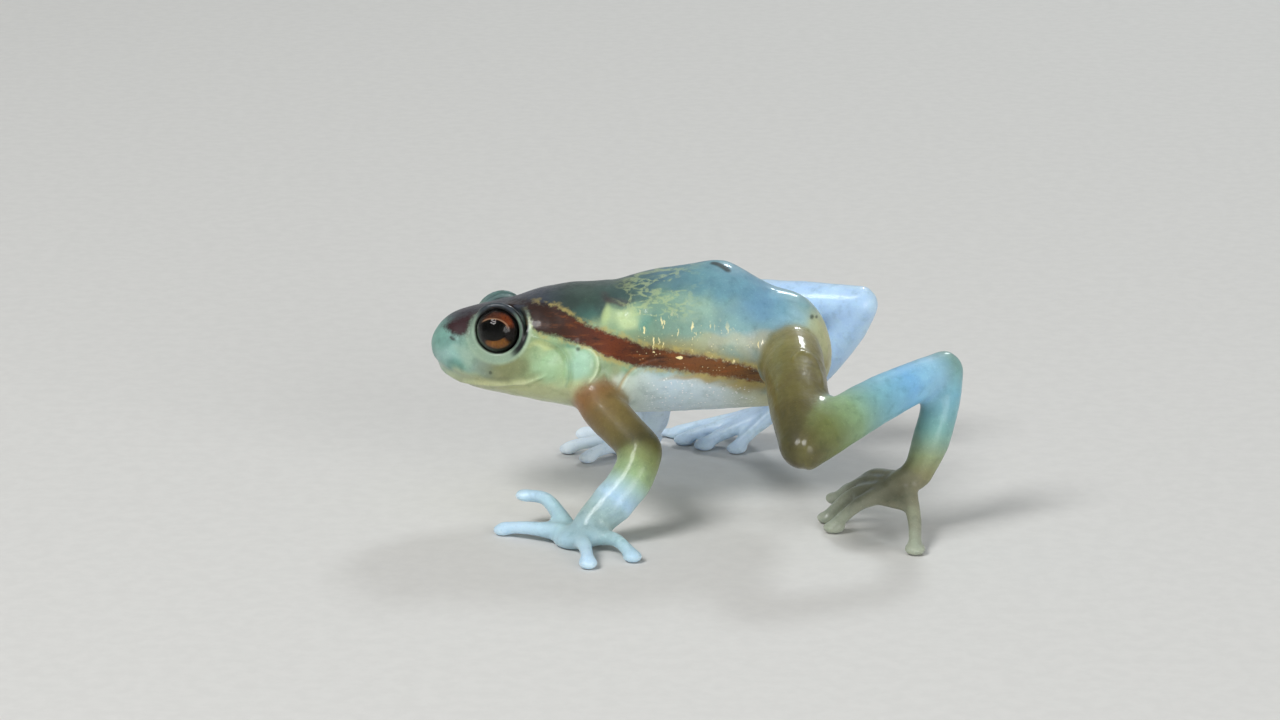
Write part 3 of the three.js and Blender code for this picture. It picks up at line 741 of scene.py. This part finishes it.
def paint_trunk(points):
    """The base colour that each point of the skin has or would have on the head and torso."""
    along, across, height = on_body(points)
    sway = [noise.noise_vector(place * PATCH_SWAY_SCALE) for place in map(Vector, points / MM)]
    sway = np.array(sway)
    swayed_along = along + sway[:, 0] * PATCH_SWAY
    swayed_height = height + sway[:, 2] * PATCH_SWAY
    colour = trunk_colour(along, swayed_height)
    wide = step(np.abs(across), 0.7, 1.5)
    for place, level, reach_along, reach_up, code, strength in PATCHES:
        away = np.hypot((swayed_along - place) / reach_along, (swayed_height - level) / reach_up)
        colour = mix(colour, srgb(code), strength * (1 - step(away, 0.3, 1.35)) * wide)
    for away, (code, reach, start) in (
        (height - line(along, STRIPE_TOP), GLOW_OVER),
        (line(along, STRIPE_FOOT) - height, GLOW_UNDER),
    ):
        glow = bell(away, reach) * step(away, -0.3, 0.0) * step(along, start, start + 3)
        colour = mix(colour, srgb(code), 0.7 * wide * glow)
    # The darker lines in the jaw crease and the armpit fold are painted shade in these creases
    for path, code, width, strength in FOLD_LINES:
        away, share = distance_to(path, along, height)
        on_line = bell(away, width) * fading_ends(share) * step(np.abs(across), *FOLD_SIDES)
        colour = mix(colour, srgb(code), strength * on_line)
    for place, level, radius in SPOTS:
        away = np.hypot(along - place, height - level)
        in_spot = (1 - step(away, radius * 0.4, radius * 1.7)) * (across < -0.3)
        colour = mix(colour, srgb("#2b3329"), 0.75 * in_spot)
    away, _ = distance_to(HUMP_SPOT, along, -across)
    in_spot = (1 - step(away, 0.12, 0.34)) * (height > 13)
    colour = mix(colour, srgb("#1c2422"), 0.9 * in_spot)
    # Painted shade: the nostril's opening is darkened to near-black
    nostril_shade = 1 - step(from_nostril(along, height), 0.06, 0.15)
    colour = mix(colour, srgb("#1d1f1f"), 0.85 * nostril_shade * (np.abs(across) > 1))
    return round_eye_colour(points, colour)


def paint(points):
    """The base colour at each point of the skin, with soft borders between trunk and limbs."""
    trunk = paint_trunk(points)
    total = np.zeros((len(points), 3))
    weight = np.zeros(len(points))
    distances = {node: near_node(points, node) for node in FLESH}
    closest = np.min(list(distances.values()), 0)
    for node, distance in distances.items():
        share = np.exp(-((distance - closest) / LIMB_BLEND))
        # Beyond the grid's reach a distance is only a cap
        share[distance > REACH * VOXEL / MM - 0.02] = 0
        if node in TRUNK:
            colour = trunk
        else:
            part, side = node.rsplit("_", 1)
            colour = ramp(limb_share(points, part, side), LIMB_COLOURS[part])
            # Painted light: the right limbs take a paler blue than the left ones
            if side == "right":
                colour = mix(colour, srgb(RIGHT_LIMB_PAINTED_LIGHT[part]), RIGHT_LIMB_PAINTED_LIGHT_SHARE)
        total += colour * share[:, None]
        weight += share
    return total / np.maximum(weight, 1e-6)[:, None]


def marks(points):
    """Three masks for the shader: depth inside the stripe, gold flecks, and silver sparkles."""
    along, across, height = on_body(points)
    wide = np.abs(across)
    top = line(along, STRIPE_TOP)
    foot = line(along, STRIPE_FOOT)
    start, end = STRIPE_ENDS
    stripe = np.minimum(top - height, height - foot)
    stripe = np.minimum(stripe, (along - start) * 0.8)
    stripe = np.minimum(stripe, (end - along) * 0.5)
    stripe = np.minimum(stripe, (wide - STRIPE_FROM_MIDLINE) * 0.8)
    for side in SIDES:
        rear, up, out = round_eye(points, side)
        from_lids = np.hypot(rear, up) - STRIPE_FROM_EYE
        stripe = np.where(out > -0.8, np.minimum(stripe, from_lids), stripe)
    trunk = trunk_share(points)
    stripe = stripe * trunk - (1 - trunk)
    gold = band(along, *GOLD_ALONG)
    gold *= step(height, foot, foot + 0.5) * (1 - step(height, top + 1.2, top + 2.6))
    silver = band(along, *SILVER_ALONG)
    silver *= 1 - step(height, foot - 0.8, foot - 0.2)
    return np.stack([stripe, gold * trunk, silver * trunk], -1)


def add_vector(mesh, name, values, kind="FLOAT_VECTOR", field="vector"):
    attribute = mesh.attributes.new(name, kind, "POINT")
    attribute.data.foreach_set(field, values.astype(np.float32).ravel())


# Materials

class Nodes:
    """A material's node tree, with short calls to add and link nodes."""

    def __init__(self, name):
        self.material = bpy.data.materials.new(name)
        self.material.use_nodes = True
        self.tree = self.material.node_tree
        self.shader = self.tree.nodes["Principled BSDF"]

    def add(self, kind, inputs=None, **settings):
        made = self.tree.nodes.new(kind)
        for key, value in settings.items():
            setattr(made, key, value)
        for key, value in (inputs or {}).items():
            self.feed(made.inputs[key], value)
        return made

    def feed(self, socket, value):
        if isinstance(value, bpy.types.NodeSocket):
            self.tree.links.new(value, socket)
        else:
            socket.default_value = value

    def shade(self, values):
        """Feeds the surface shader's sockets, by name."""
        for name, value in values.items():
            self.feed(self.shader.inputs[name], value)

    def bump(self, height, strength, distance):
        """Small relief on the surface, its distance in mm."""
        inputs = {"Height": height, "Strength": strength, "Distance": distance * MM}
        self.shade({"Normal": self.add("ShaderNodeBump", inputs).outputs["Normal"]})

    def attribute(self, name):
        return self.add("ShaderNodeAttribute", attribute_name=name)

    def math(self, operation, a, b=0.0, clamp=False):
        inputs = {0: a, 1: b}
        return self.add("ShaderNodeMath", inputs, operation=operation, use_clamp=clamp).outputs[0]

    def product(self, *values):
        total = values[0]
        for value in values[1:]:
            total = self.math("MULTIPLY", total, value)
        return total

    def vector(self, operation, a, b):
        return self.add("ShaderNodeVectorMath", {0: a, 1: b}, operation=operation).outputs[0]

    def noise(self, scale, detail, roughness, place, distortion=0.0):
        inputs = {
            "Vector": place,
            "Scale": scale,
            "Detail": detail,
            "Roughness": roughness,
            "Distortion": distortion,
        }
        return self.add("ShaderNodeTexNoise", inputs).outputs["Fac"]

    def cells(self, scale, place, feature="F1"):
        """The distance to the middle of the nearest of many cells."""
        inputs = {"Scale": scale, "Vector": place}
        return self.add("ShaderNodeTexVoronoi", inputs, feature=feature).outputs["Distance"]

    def shaken(self, place, scale, reach):
        """The place, moved about by a soft noise."""
        sway = self.add("ShaderNodeTexNoise", {"Vector": place, "Scale": scale}).outputs["Color"]
        centred = self.vector("SUBTRACT", sway, (0.5, 0.5, 0.5))
        return self.vector("ADD", place, self.vector("MULTIPLY", centred, (reach, reach, reach)))

    def drops(self, place, scale, share, size):
        """Separate blots, one in some of the cells of a stretched grid, each of its own size."""
        inputs = {"Scale": 1.0, "Vector": self.vector("MULTIPLY", place, scale)}
        made = self.add("ShaderNodeTexVoronoi", inputs)
        luck = self.add("ShaderNodeSeparateColor", {0: made.outputs["Color"]}).outputs[0]
        reach = self.range(luck, share, 1.0, 0.0, size)
        return self.range(self.math("SUBTRACT", reach, made.outputs["Distance"]), 0.0, 0.07)

    def range(self, value, low, high, to_low=0.0, to_high=1.0):
        """A soft step of the value between low and high, which may fall instead of rise."""
        inputs = {"Value": value, 1: low, 2: high, 3: to_low, 4: to_high}
        return self.add("ShaderNodeMapRange", inputs, interpolation_type="SMOOTHSTEP").outputs[0]

    def vein(self, value, width):
        """1 along the lines where a noise passes its middle, 0 away from them."""
        off_line = self.math("ABSOLUTE", self.math("SUBTRACT", value, 0.5))
        return self.range(off_line, width, width * 0.4)

    def blend(self, share, a, b, mode="MIX"):
        made = self.add("ShaderNodeMix", data_type="RGBA", blend_type=mode)
        self.feed(made.inputs["Factor"], share)
        self.feed(made.inputs[6], a)
        self.feed(made.inputs[7], b)
        return made.outputs[2]

    def ramp(self, value, stops):
        made = self.add("ShaderNodeValToRGB", {"Fac": value})
        elements = made.color_ramp.elements
        while len(elements) < len(stops):
            elements.new(0.5)
        for element, (place, code) in zip(elements, stops):
            element.position = place
            element.color = (*srgb(code), 1)
        return made.outputs["Color"]


def colour_of(code):
    return (*srgb(code), 1)


def clouded(n, tint, broad, medium, grain):
    """The painted colour with paler veils, darker smudges, and tiny dark and pale grains."""
    for share, code, mode in (
        (n.range(broad, 0.42, 0.68, 0, 0.4), "#e4efe6", "SOFT_LIGHT"),
        (n.range(medium, 0.48, 0.75, 0, 0.32), "#a3b5b0", "MULTIPLY"),
        (n.range(grain, 0.58, 0.75, 0, 0.2), "#93a5a5", "MULTIPLY"),
        (n.range(grain, 0.42, 0.28, 0, 0.4), "#f2f7e8", "SOFT_LIGHT"),
    ):
        tint = n.blend(share, tint, colour_of(code), mode)
    return tint


def striped(n, colour, place, along, depth, medium, fine, grain):
    """The rust-brown stripe with its streaks, its ragged edge and its golden border."""
    streaked = n.noise(1.0, 4, 0.65, n.vector("MULTIPLY", place, (0.8, 1.0, 3.2)))
    ragged = n.math("ADD", depth, n.product(n.math("SUBTRACT", fine, 0.5), 0.6))
    ragged = n.math("ADD", ragged, n.product(n.math("SUBTRACT", grain, 0.5), 0.2))
    share_along = n.math("DIVIDE", along, BODY_LENGTH)
    stripe = n.ramp(share_along, [(stop / BODY_LENGTH, code) for stop, code in STRIPE_COLOURS])
    rusty = n.product(n.range(streaked, 0.52, 0.72, 0, 0.7), n.range(along, 6.0, 9.5))
    stripe = n.blend(rusty, stripe, colour_of("#95501a"))
    stripe = n.blend(n.range(streaked, 0.46, 0.3, 0, 0.7), stripe, colour_of("#1f0e07"))
    stripe = n.blend(n.range(grain, 0.52, 0.72, 0, 0.45), stripe, colour_of("#1f0d08"))
    colour = n.blend(n.range(ragged, -0.16, 0.26), colour, stripe)
    border = n.product(n.range(ragged, -0.34, -0.06), n.range(ragged, 0.14, 0.0))
    border = n.product(border, n.range(medium, 0.38, 0.6), n.range(along, 5.5, 7.5), 0.6)
    return n.blend(border, colour, colour_of("#bfae66"))


def gold_flecks(n, place, depth, medium, fine):
    """Upright strokes above the stripe, a few level blots along it, and fine specks."""
    wavy = n.shaken(n.shaken(place, 1.2, 0.5), 4.0, 0.3)
    off_stripe = n.range(depth, 0.25, -0.05)
    strokes = n.drops(wavy, (2.7, 0.12, 0.72), 0.0, 0.32)
    strokes = n.product(strokes, off_stripe, n.range(fine, 0.3, 0.45))
    thin = n.product(n.drops(wavy, (4.4, 0.2, 1.2), 0.15, 0.27), off_stripe, 0.85)
    blots = n.product(n.drops(wavy, (1.15, 0.12, 2.1), 0.45, 0.3), n.range(depth, -0.35, 0.0))
    specks = n.product(n.range(n.cells(4.5, place), 0.24, 0.14), n.range(medium, 0.47, 0.6), 0.5)
    long_ones = n.math("MAXIMUM", strokes, blots)
    return n.math("MAXIMUM", long_ones, n.math("MAXIMUM", specks, thin), True)


def back_net(n, place, along, upwards, fine):
    """A faint net over the dark of the back."""
    lines = n.noise(0.75, 2, 0.5, n.vector("MULTIPLY", place, (0.8, 0.8, 1.9)), 0.4)
    net = n.product(n.vein(lines, 0.075), 0.42, n.range(fine, 0.36, 0.58))
    from_ends = n.product(n.range(along, 11.0, 12.8), n.range(along, 17.5, 15.0))
    return n.product(net, n.product(from_ends, n.range(upwards, 11.6, 12.6)))


def skin_material():
    n = Nodes("frog_skin")
    place = n.attribute("body_place").outputs["Vector"]
    tint = n.attribute("tint").outputs["Color"]
    marked = n.add("ShaderNodeSeparateXYZ", {0: n.attribute("marks").outputs["Vector"]})
    stripe_depth, gold_share, silver_share = marked.outputs
    along, _, upwards = n.add("ShaderNodeSeparateXYZ", {0: place}).outputs
    broad = n.noise(0.45, 4, 0.6, place)
    medium = n.noise(1.4, 4, 0.6, place)
    fine = n.noise(3.2, 4, 0.65, place)
    grain = n.noise(9, 3, 0.6, place)
    colour = clouded(n, tint, broad, medium, grain)
    colour = striped(n, colour, place, along, stripe_depth, medium, fine, grain)
    flecks = n.product(gold_flecks(n, place, stripe_depth, medium, fine), gold_share)
    colour = n.blend(n.product(flecks, 0.92), colour, colour_of("#fbeeb6"))
    colour = n.blend(back_net(n, place, along, upwards, fine), colour, colour_of("#c3cf92"))
    # Silver sparkles on the belly
    sparkle = n.range(n.cells(4.3, place), 0.3, 0.16)
    sparkle = n.product(sparkle, n.range(fine, 0.4, 0.54), silver_share)
    colour = n.blend(sparkle, colour, colour_of("#fbfdff"))
    shiny = n.math("MAXIMUM", flecks, sparkle, True)
    rough = n.range(fine, 0.3, 0.7, 0.4, 0.58)
    n.shade({
        "Base Color": colour,
        "Roughness": n.math("SUBTRACT", rough, n.product(shiny, 0.15)),
        "IOR": 1.36,
        "Subsurface Weight": 0.8,
        "Subsurface Radius": (1.0, 0.95, 0.85),
        "Subsurface Scale": 1.1 * MM,
        "Coat Weight": 0.38,
        "Coat Roughness": 0.09,
        "Coat IOR": 1.42,
        "Sheen Weight": 0.1,
        "Sheen Roughness": 0.35,
        "Sheen Tint": (0.8, 0.9, 1.0, 1),
    })
    pebbles = n.cells(3.0, place, "SMOOTH_F1")
    height = n.math("ADD", n.product(pebbles, 0.5), n.product(grain, 0.5))
    n.bump(n.math("ADD", height, n.product(flecks, 0.5)), 0.45, 0.04)
    return n.material


# Eyes, in mm about the eye's centre

EYE_SIDES = 96
EYEBALL_RINGS = 26
IRIS_RINGS = 22
CORNEA_RINGS = 18
CORNEA_PROUD = 0.1
CORNEA_WALL = 0.06
CORNEA_EDGE = math.radians(76)
IRIS_SHARE = 0.93  # of the eyeball's radius
IRIS_RISE = 0.2  # from its rim to its flat middle
IRIS_SLOPE = 1 / 1.6  # the share of its radius over which it rises


def circle(radius, sides):
    """Places (x, y) round a circle."""
    angles = [2 * math.pi * i / sides for i in range(sides)]
    return [(radius * math.cos(angle), radius * math.sin(angle)) for angle in angles]


def turned_faces(rings, sides):
    """Faces from a first point to a ring of points, and from each ring to the next."""
    faces = []
    for i in range(sides):
        j = (i + 1) % sides
        faces.append((0, 1 + j, 1 + i))
        for ring in range(rings - 1):
            a = 1 + ring * sides
            b = a + sides
            faces.append((a + i, a + j, b + j, b + i))
    return faces


def turned(name, profile, side):
    """A piece turned about one eye's axis, from (radius, height) pairs from back to front."""
    looks, up, rear = gaze(side)
    plane = [(0.0, 0.0)]
    heights = [profile[0][1]]
    for radius, height in profile[1:-1]:
        plane += circle(radius, EYE_SIDES)
        heights += [height] * EYE_SIDES
    plane.append((0.0, 0.0))
    heights.append(profile[-1][1])
    points = [
        EYES[side] + (looks * height + rear * x + up * y) * MM
        for (x, y), height in zip(plane, heights)
    ]
    last = len(points) - 1
    faces = turned_faces(len(profile) - 2, EYE_SIDES)
    for i in range(EYE_SIDES):
        j = (i + 1) % EYE_SIDES
        faces.append((last, last - EYE_SIDES + i, last - EYE_SIDES + j))
    if side == "right":
        faces = [face[::-1] for face in faces]
    piece = new_mesh_object(name, np.array(points), faces)
    places = np.array([(x / EYE_RADIUS, y / EYE_RADIUS, 0) for x, y in plane])
    add_vector(piece.data, "iris_place", places)
    return piece


def arc(radius, start, end, steps):
    """Points (distance from the axis, height) of an arc, by its angles from the front pole."""
    angles = np.linspace(start, end, steps)
    return [(radius * math.sin(angle), radius * math.cos(angle)) for angle in angles]


def eyeball_profile():
    """A ball from its back pole to the iris's rim, and the iris, which rises a little inwards."""
    iris = IRIS_SHARE * EYE_RADIUS
    ball = arc(EYE_RADIUS, math.pi, math.asin(IRIS_SHARE), EYEBALL_RINGS)
    rim = ball[-1][1]
    front = []
    for inwards in np.linspace(0.04, 0.96, IRIS_RINGS):
        risen = math.sin(math.pi / 2 * min(1, inwards / IRIS_SLOPE))
        front.append((iris * (1 - inwards), rim + IRIS_RISE * risen))
    return ball + front + [(0, front[-1][1])]


def cornea_profile():
    """A thin clear shell: its lining from the pole to the edge, and its front back to the pole."""
    outer = EYE_RADIUS + CORNEA_PROUD
    lining = arc(outer - CORNEA_WALL, 0, CORNEA_EDGE, CORNEA_RINGS)
    return lining + arc(outer, CORNEA_EDGE, 0, CORNEA_RINGS)


# The pupil, a level oval: how far forward it lies, and its half sizes, in eyeball radii
PUPIL_FORWARD = 0.17
PUPIL_WIDE = 0.67
PUPIL_TALL = 0.48


def iris_material():
    n = Nodes("frog_iris")
    place = n.attribute("iris_place").outputs["Vector"]
    x, y, _ = n.add("ShaderNodeSeparateXYZ", {0: place}).outputs
    angle = n.math("ARCTAN2", y, x)
    radius = n.math("SQRT", n.math("ADD", n.product(x, x), n.product(y, y)))
    streaks = n.add("ShaderNodeCombineXYZ", {0: n.product(angle, 3.2), 1: radius, 2: 0.0})
    fibres = n.noise(5.5, 5, 0.7, streaks.outputs[0])
    mottle = n.noise(8, 4, 0.6, place)
    # 1 on the pupil's edge, and less inside
    wide = n.math("DIVIDE", n.math("ADD", x, PUPIL_FORWARD), PUPIL_WIDE)
    tall = n.math("DIVIDE", y, PUPIL_TALL)
    oval = n.math("SQRT", n.math("ADD", n.product(wide, wide), n.product(tall, tall)))
    # Copper above, from the front to the rear, and dull gold below, with black between; at the rear
    # this black is painted shade over the iris's own dark brown
    above = n.product(n.range(angle, 0.05, 0.5), n.range(angle, 2.85, 2.4))
    below = n.product(n.range(angle, -0.6, -0.95), n.range(angle, -2.5, -2.1))
    rear_glow = n.range(angle, 1.7, 0.9)
    iris = n.blend(n.range(fibres, 0.35, 0.65), colour_of("#260f08"), colour_of("#653824"))
    iris = n.blend(n.product(rear_glow, n.range(fibres, 0.3, 0.6), 0.6), iris, colour_of("#8f4114"))
    gold = n.blend(n.range(fibres, 0.35, 0.65), colour_of("#4a2a10"), colour_of("#9c6a30"))
    gold = n.blend(n.range(mottle, 0.45, 0.65, 0, 0.6), gold, colour_of("#6a3212"))
    outer = n.range(radius, 0.86, 0.72)
    # Near-black between the copper and the gold: painted shade at the iris's rear
    colour = n.blend(n.product(above, outer), colour_of("#0a0504"), iris)
    colour = n.blend(n.product(below, outer), colour, gold)
    rim = n.product(n.range(oval, 1.0, 1.05), n.range(oval, 1.16, 1.08), above, 0.8)
    colour = n.blend(rim, colour, colour_of("#b08a6a"))
    colour = n.blend(n.range(oval, 1.03, 0.97), colour, colour_of("#010101"))
    colour = n.blend(n.range(radius, 0.84, 0.9), colour, colour_of("#040303"))
    n.shade({
        "Base Color": colour,
        "Roughness": n.range(fibres, 0.3, 0.7, 0.4, 0.6),
        "Specular IOR Level": 0.04,
    })
    n.bump(fibres, 0.5, 0.03)
    return n.material


def cornea_material():
    n = Nodes("frog_cornea")
    film = n.noise(500, 2, 0.5, n.add("ShaderNodeTexCoord").outputs["Object"])
    n.shade({
        "Base Color": (1, 1, 1, 1),
        "Transmission Weight": 1,
        "IOR": 1.2,
        "Roughness": n.range(film, 0.3, 0.8, 0.0, 0.015),
    })
    return n.material


# Studio

# The floor, in metres: its innermost ring, its flat radius, the radius of its bend, and its wall
FLOOR_HUB = 0.05
FLOOR_FLAT = 0.7
FLOOR_BEND = 0.25
FLOOR_WALL = 0.6
FLOOR_SIDES = 96
BEND_RINGS = 14


def floor_material():
    n = Nodes("studio_paper")
    place = n.add("ShaderNodeTexCoord").outputs["Object"]
    mottled = n.range(n.noise(900, 3, 0.6, place), 0.3, 0.7)
    colour = n.blend(mottled, colour_of("#d3d2cf"), colour_of("#d7d6d3"))
    n.shade({"Base Color": colour, "Roughness": 0.75})
    return n.material


def add_floor():
    """A pale floor that curves up into a round backdrop."""
    profile = [(FLOOR_HUB, 0.0), (FLOOR_FLAT, 0.0)]
    profile += [
        (FLOOR_FLAT + FLOOR_BEND * math.sin(angle), FLOOR_BEND * (1 - math.cos(angle)))
        for angle in np.linspace(0.1, math.pi / 2, BEND_RINGS)
    ]
    profile.append((FLOOR_FLAT + FLOOR_BEND, FLOOR_BEND + FLOOR_WALL))
    points = [(0, 0, 0)]
    for radius, height in profile:
        points += [(x, y, height) for x, y in circle(radius, FLOOR_SIDES)]
    faces = [face[::-1] for face in turned_faces(len(profile), FLOOR_SIDES)]
    floor = new_mesh_object("studio_floor", np.array(points), faces)
    floor.data.materials.append(floor_material())


LIGHT_AIM = Vector((0, 0, 8))  # the middle of the body, in mm


def add_light(name, place, size, watts, colour=(1, 1, 1)):
    """A round soft light at a place in mm."""
    light = bpy.data.lights.new(name, "AREA")
    light.shape = "DISK"
    light.size = size * MM
    light.energy = watts
    light.color = colour
    lamp = bpy.data.objects.new(name, light)
    lamp.location = Vector(place) * MM
    lamp.rotation_euler = (LIGHT_AIM - Vector(place)).to_track_quat("-Z", "Y").to_euler()
    bpy.context.scene.collection.objects.link(lamp)


def add_studio():
    add_floor()
    add_light("key", (-275, -250, 425), 240, 2.2)
    add_light("fill", (300, -475, 120), 380, 1.8)
    add_light("rim", (125, 400, 300), 90, 0.6, (0.92, 0.97, 1.0))
    world = bpy.data.worlds.new("studio")
    world.use_nodes = True
    background = world.node_tree.nodes["Background"]
    background.inputs["Color"].default_value = (0.92, 0.95, 0.96, 1)
    background.inputs["Strength"].default_value = 0.25
    bpy.context.scene.world = world
    bpy.context.scene.view_settings.view_transform = "Standard"


# The pieces

def add_skin():
    field = blur(flesh_field(), SKIN_BLUR)
    smooth_thick_parts(field)
    smooth_neck(field)
    for side in SIDES:
        shape_eye_socket(field, side)
    points, faces = skin_mesh(field)
    points = relaxed(points.astype(float), faces)
    skin = new_mesh_object("skin", points, faces[:, ::-1])
    mesh = skin.data
    normals = np.zeros(len(points) * 3, np.float32)
    mesh.vertices.foreach_get("normal", normals)
    raised = points + normals.reshape(-1, 3) * relief(points)[:, None] * MM
    raised[:, 2] = np.maximum(raised[:, 2], cad_box[0][2])
    mesh.vertices.foreach_set("co", raised.astype(np.float32).ravel())
    mesh.update()
    add_vector(mesh, "tint", np.c_[paint(points), np.ones(len(points))], "FLOAT_COLOR", "color")
    add_vector(mesh, "marks", marks(points))
    add_vector(mesh, "body_place", np.stack(on_body(points), -1))
    mesh.materials.append(skin_material())
    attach(skin, "root")
    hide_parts(*FLESH)


def add_eyes():
    iris, cornea = iris_material(), cornea_material()
    for side in SIDES:
        eyeball = turned(f"eyeball_{side}", eyeball_profile(), side)
        eyeball.data.materials.append(iris)
        dome = turned(f"cornea_{side}", cornea_profile(), side)
        dome.data.materials.append(cornea)
        for piece in (eyeball, dome):
            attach(piece, "root")
        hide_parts(f"eye_{side}")


add_camera()
add_skin()
add_eyes()
add_studio()
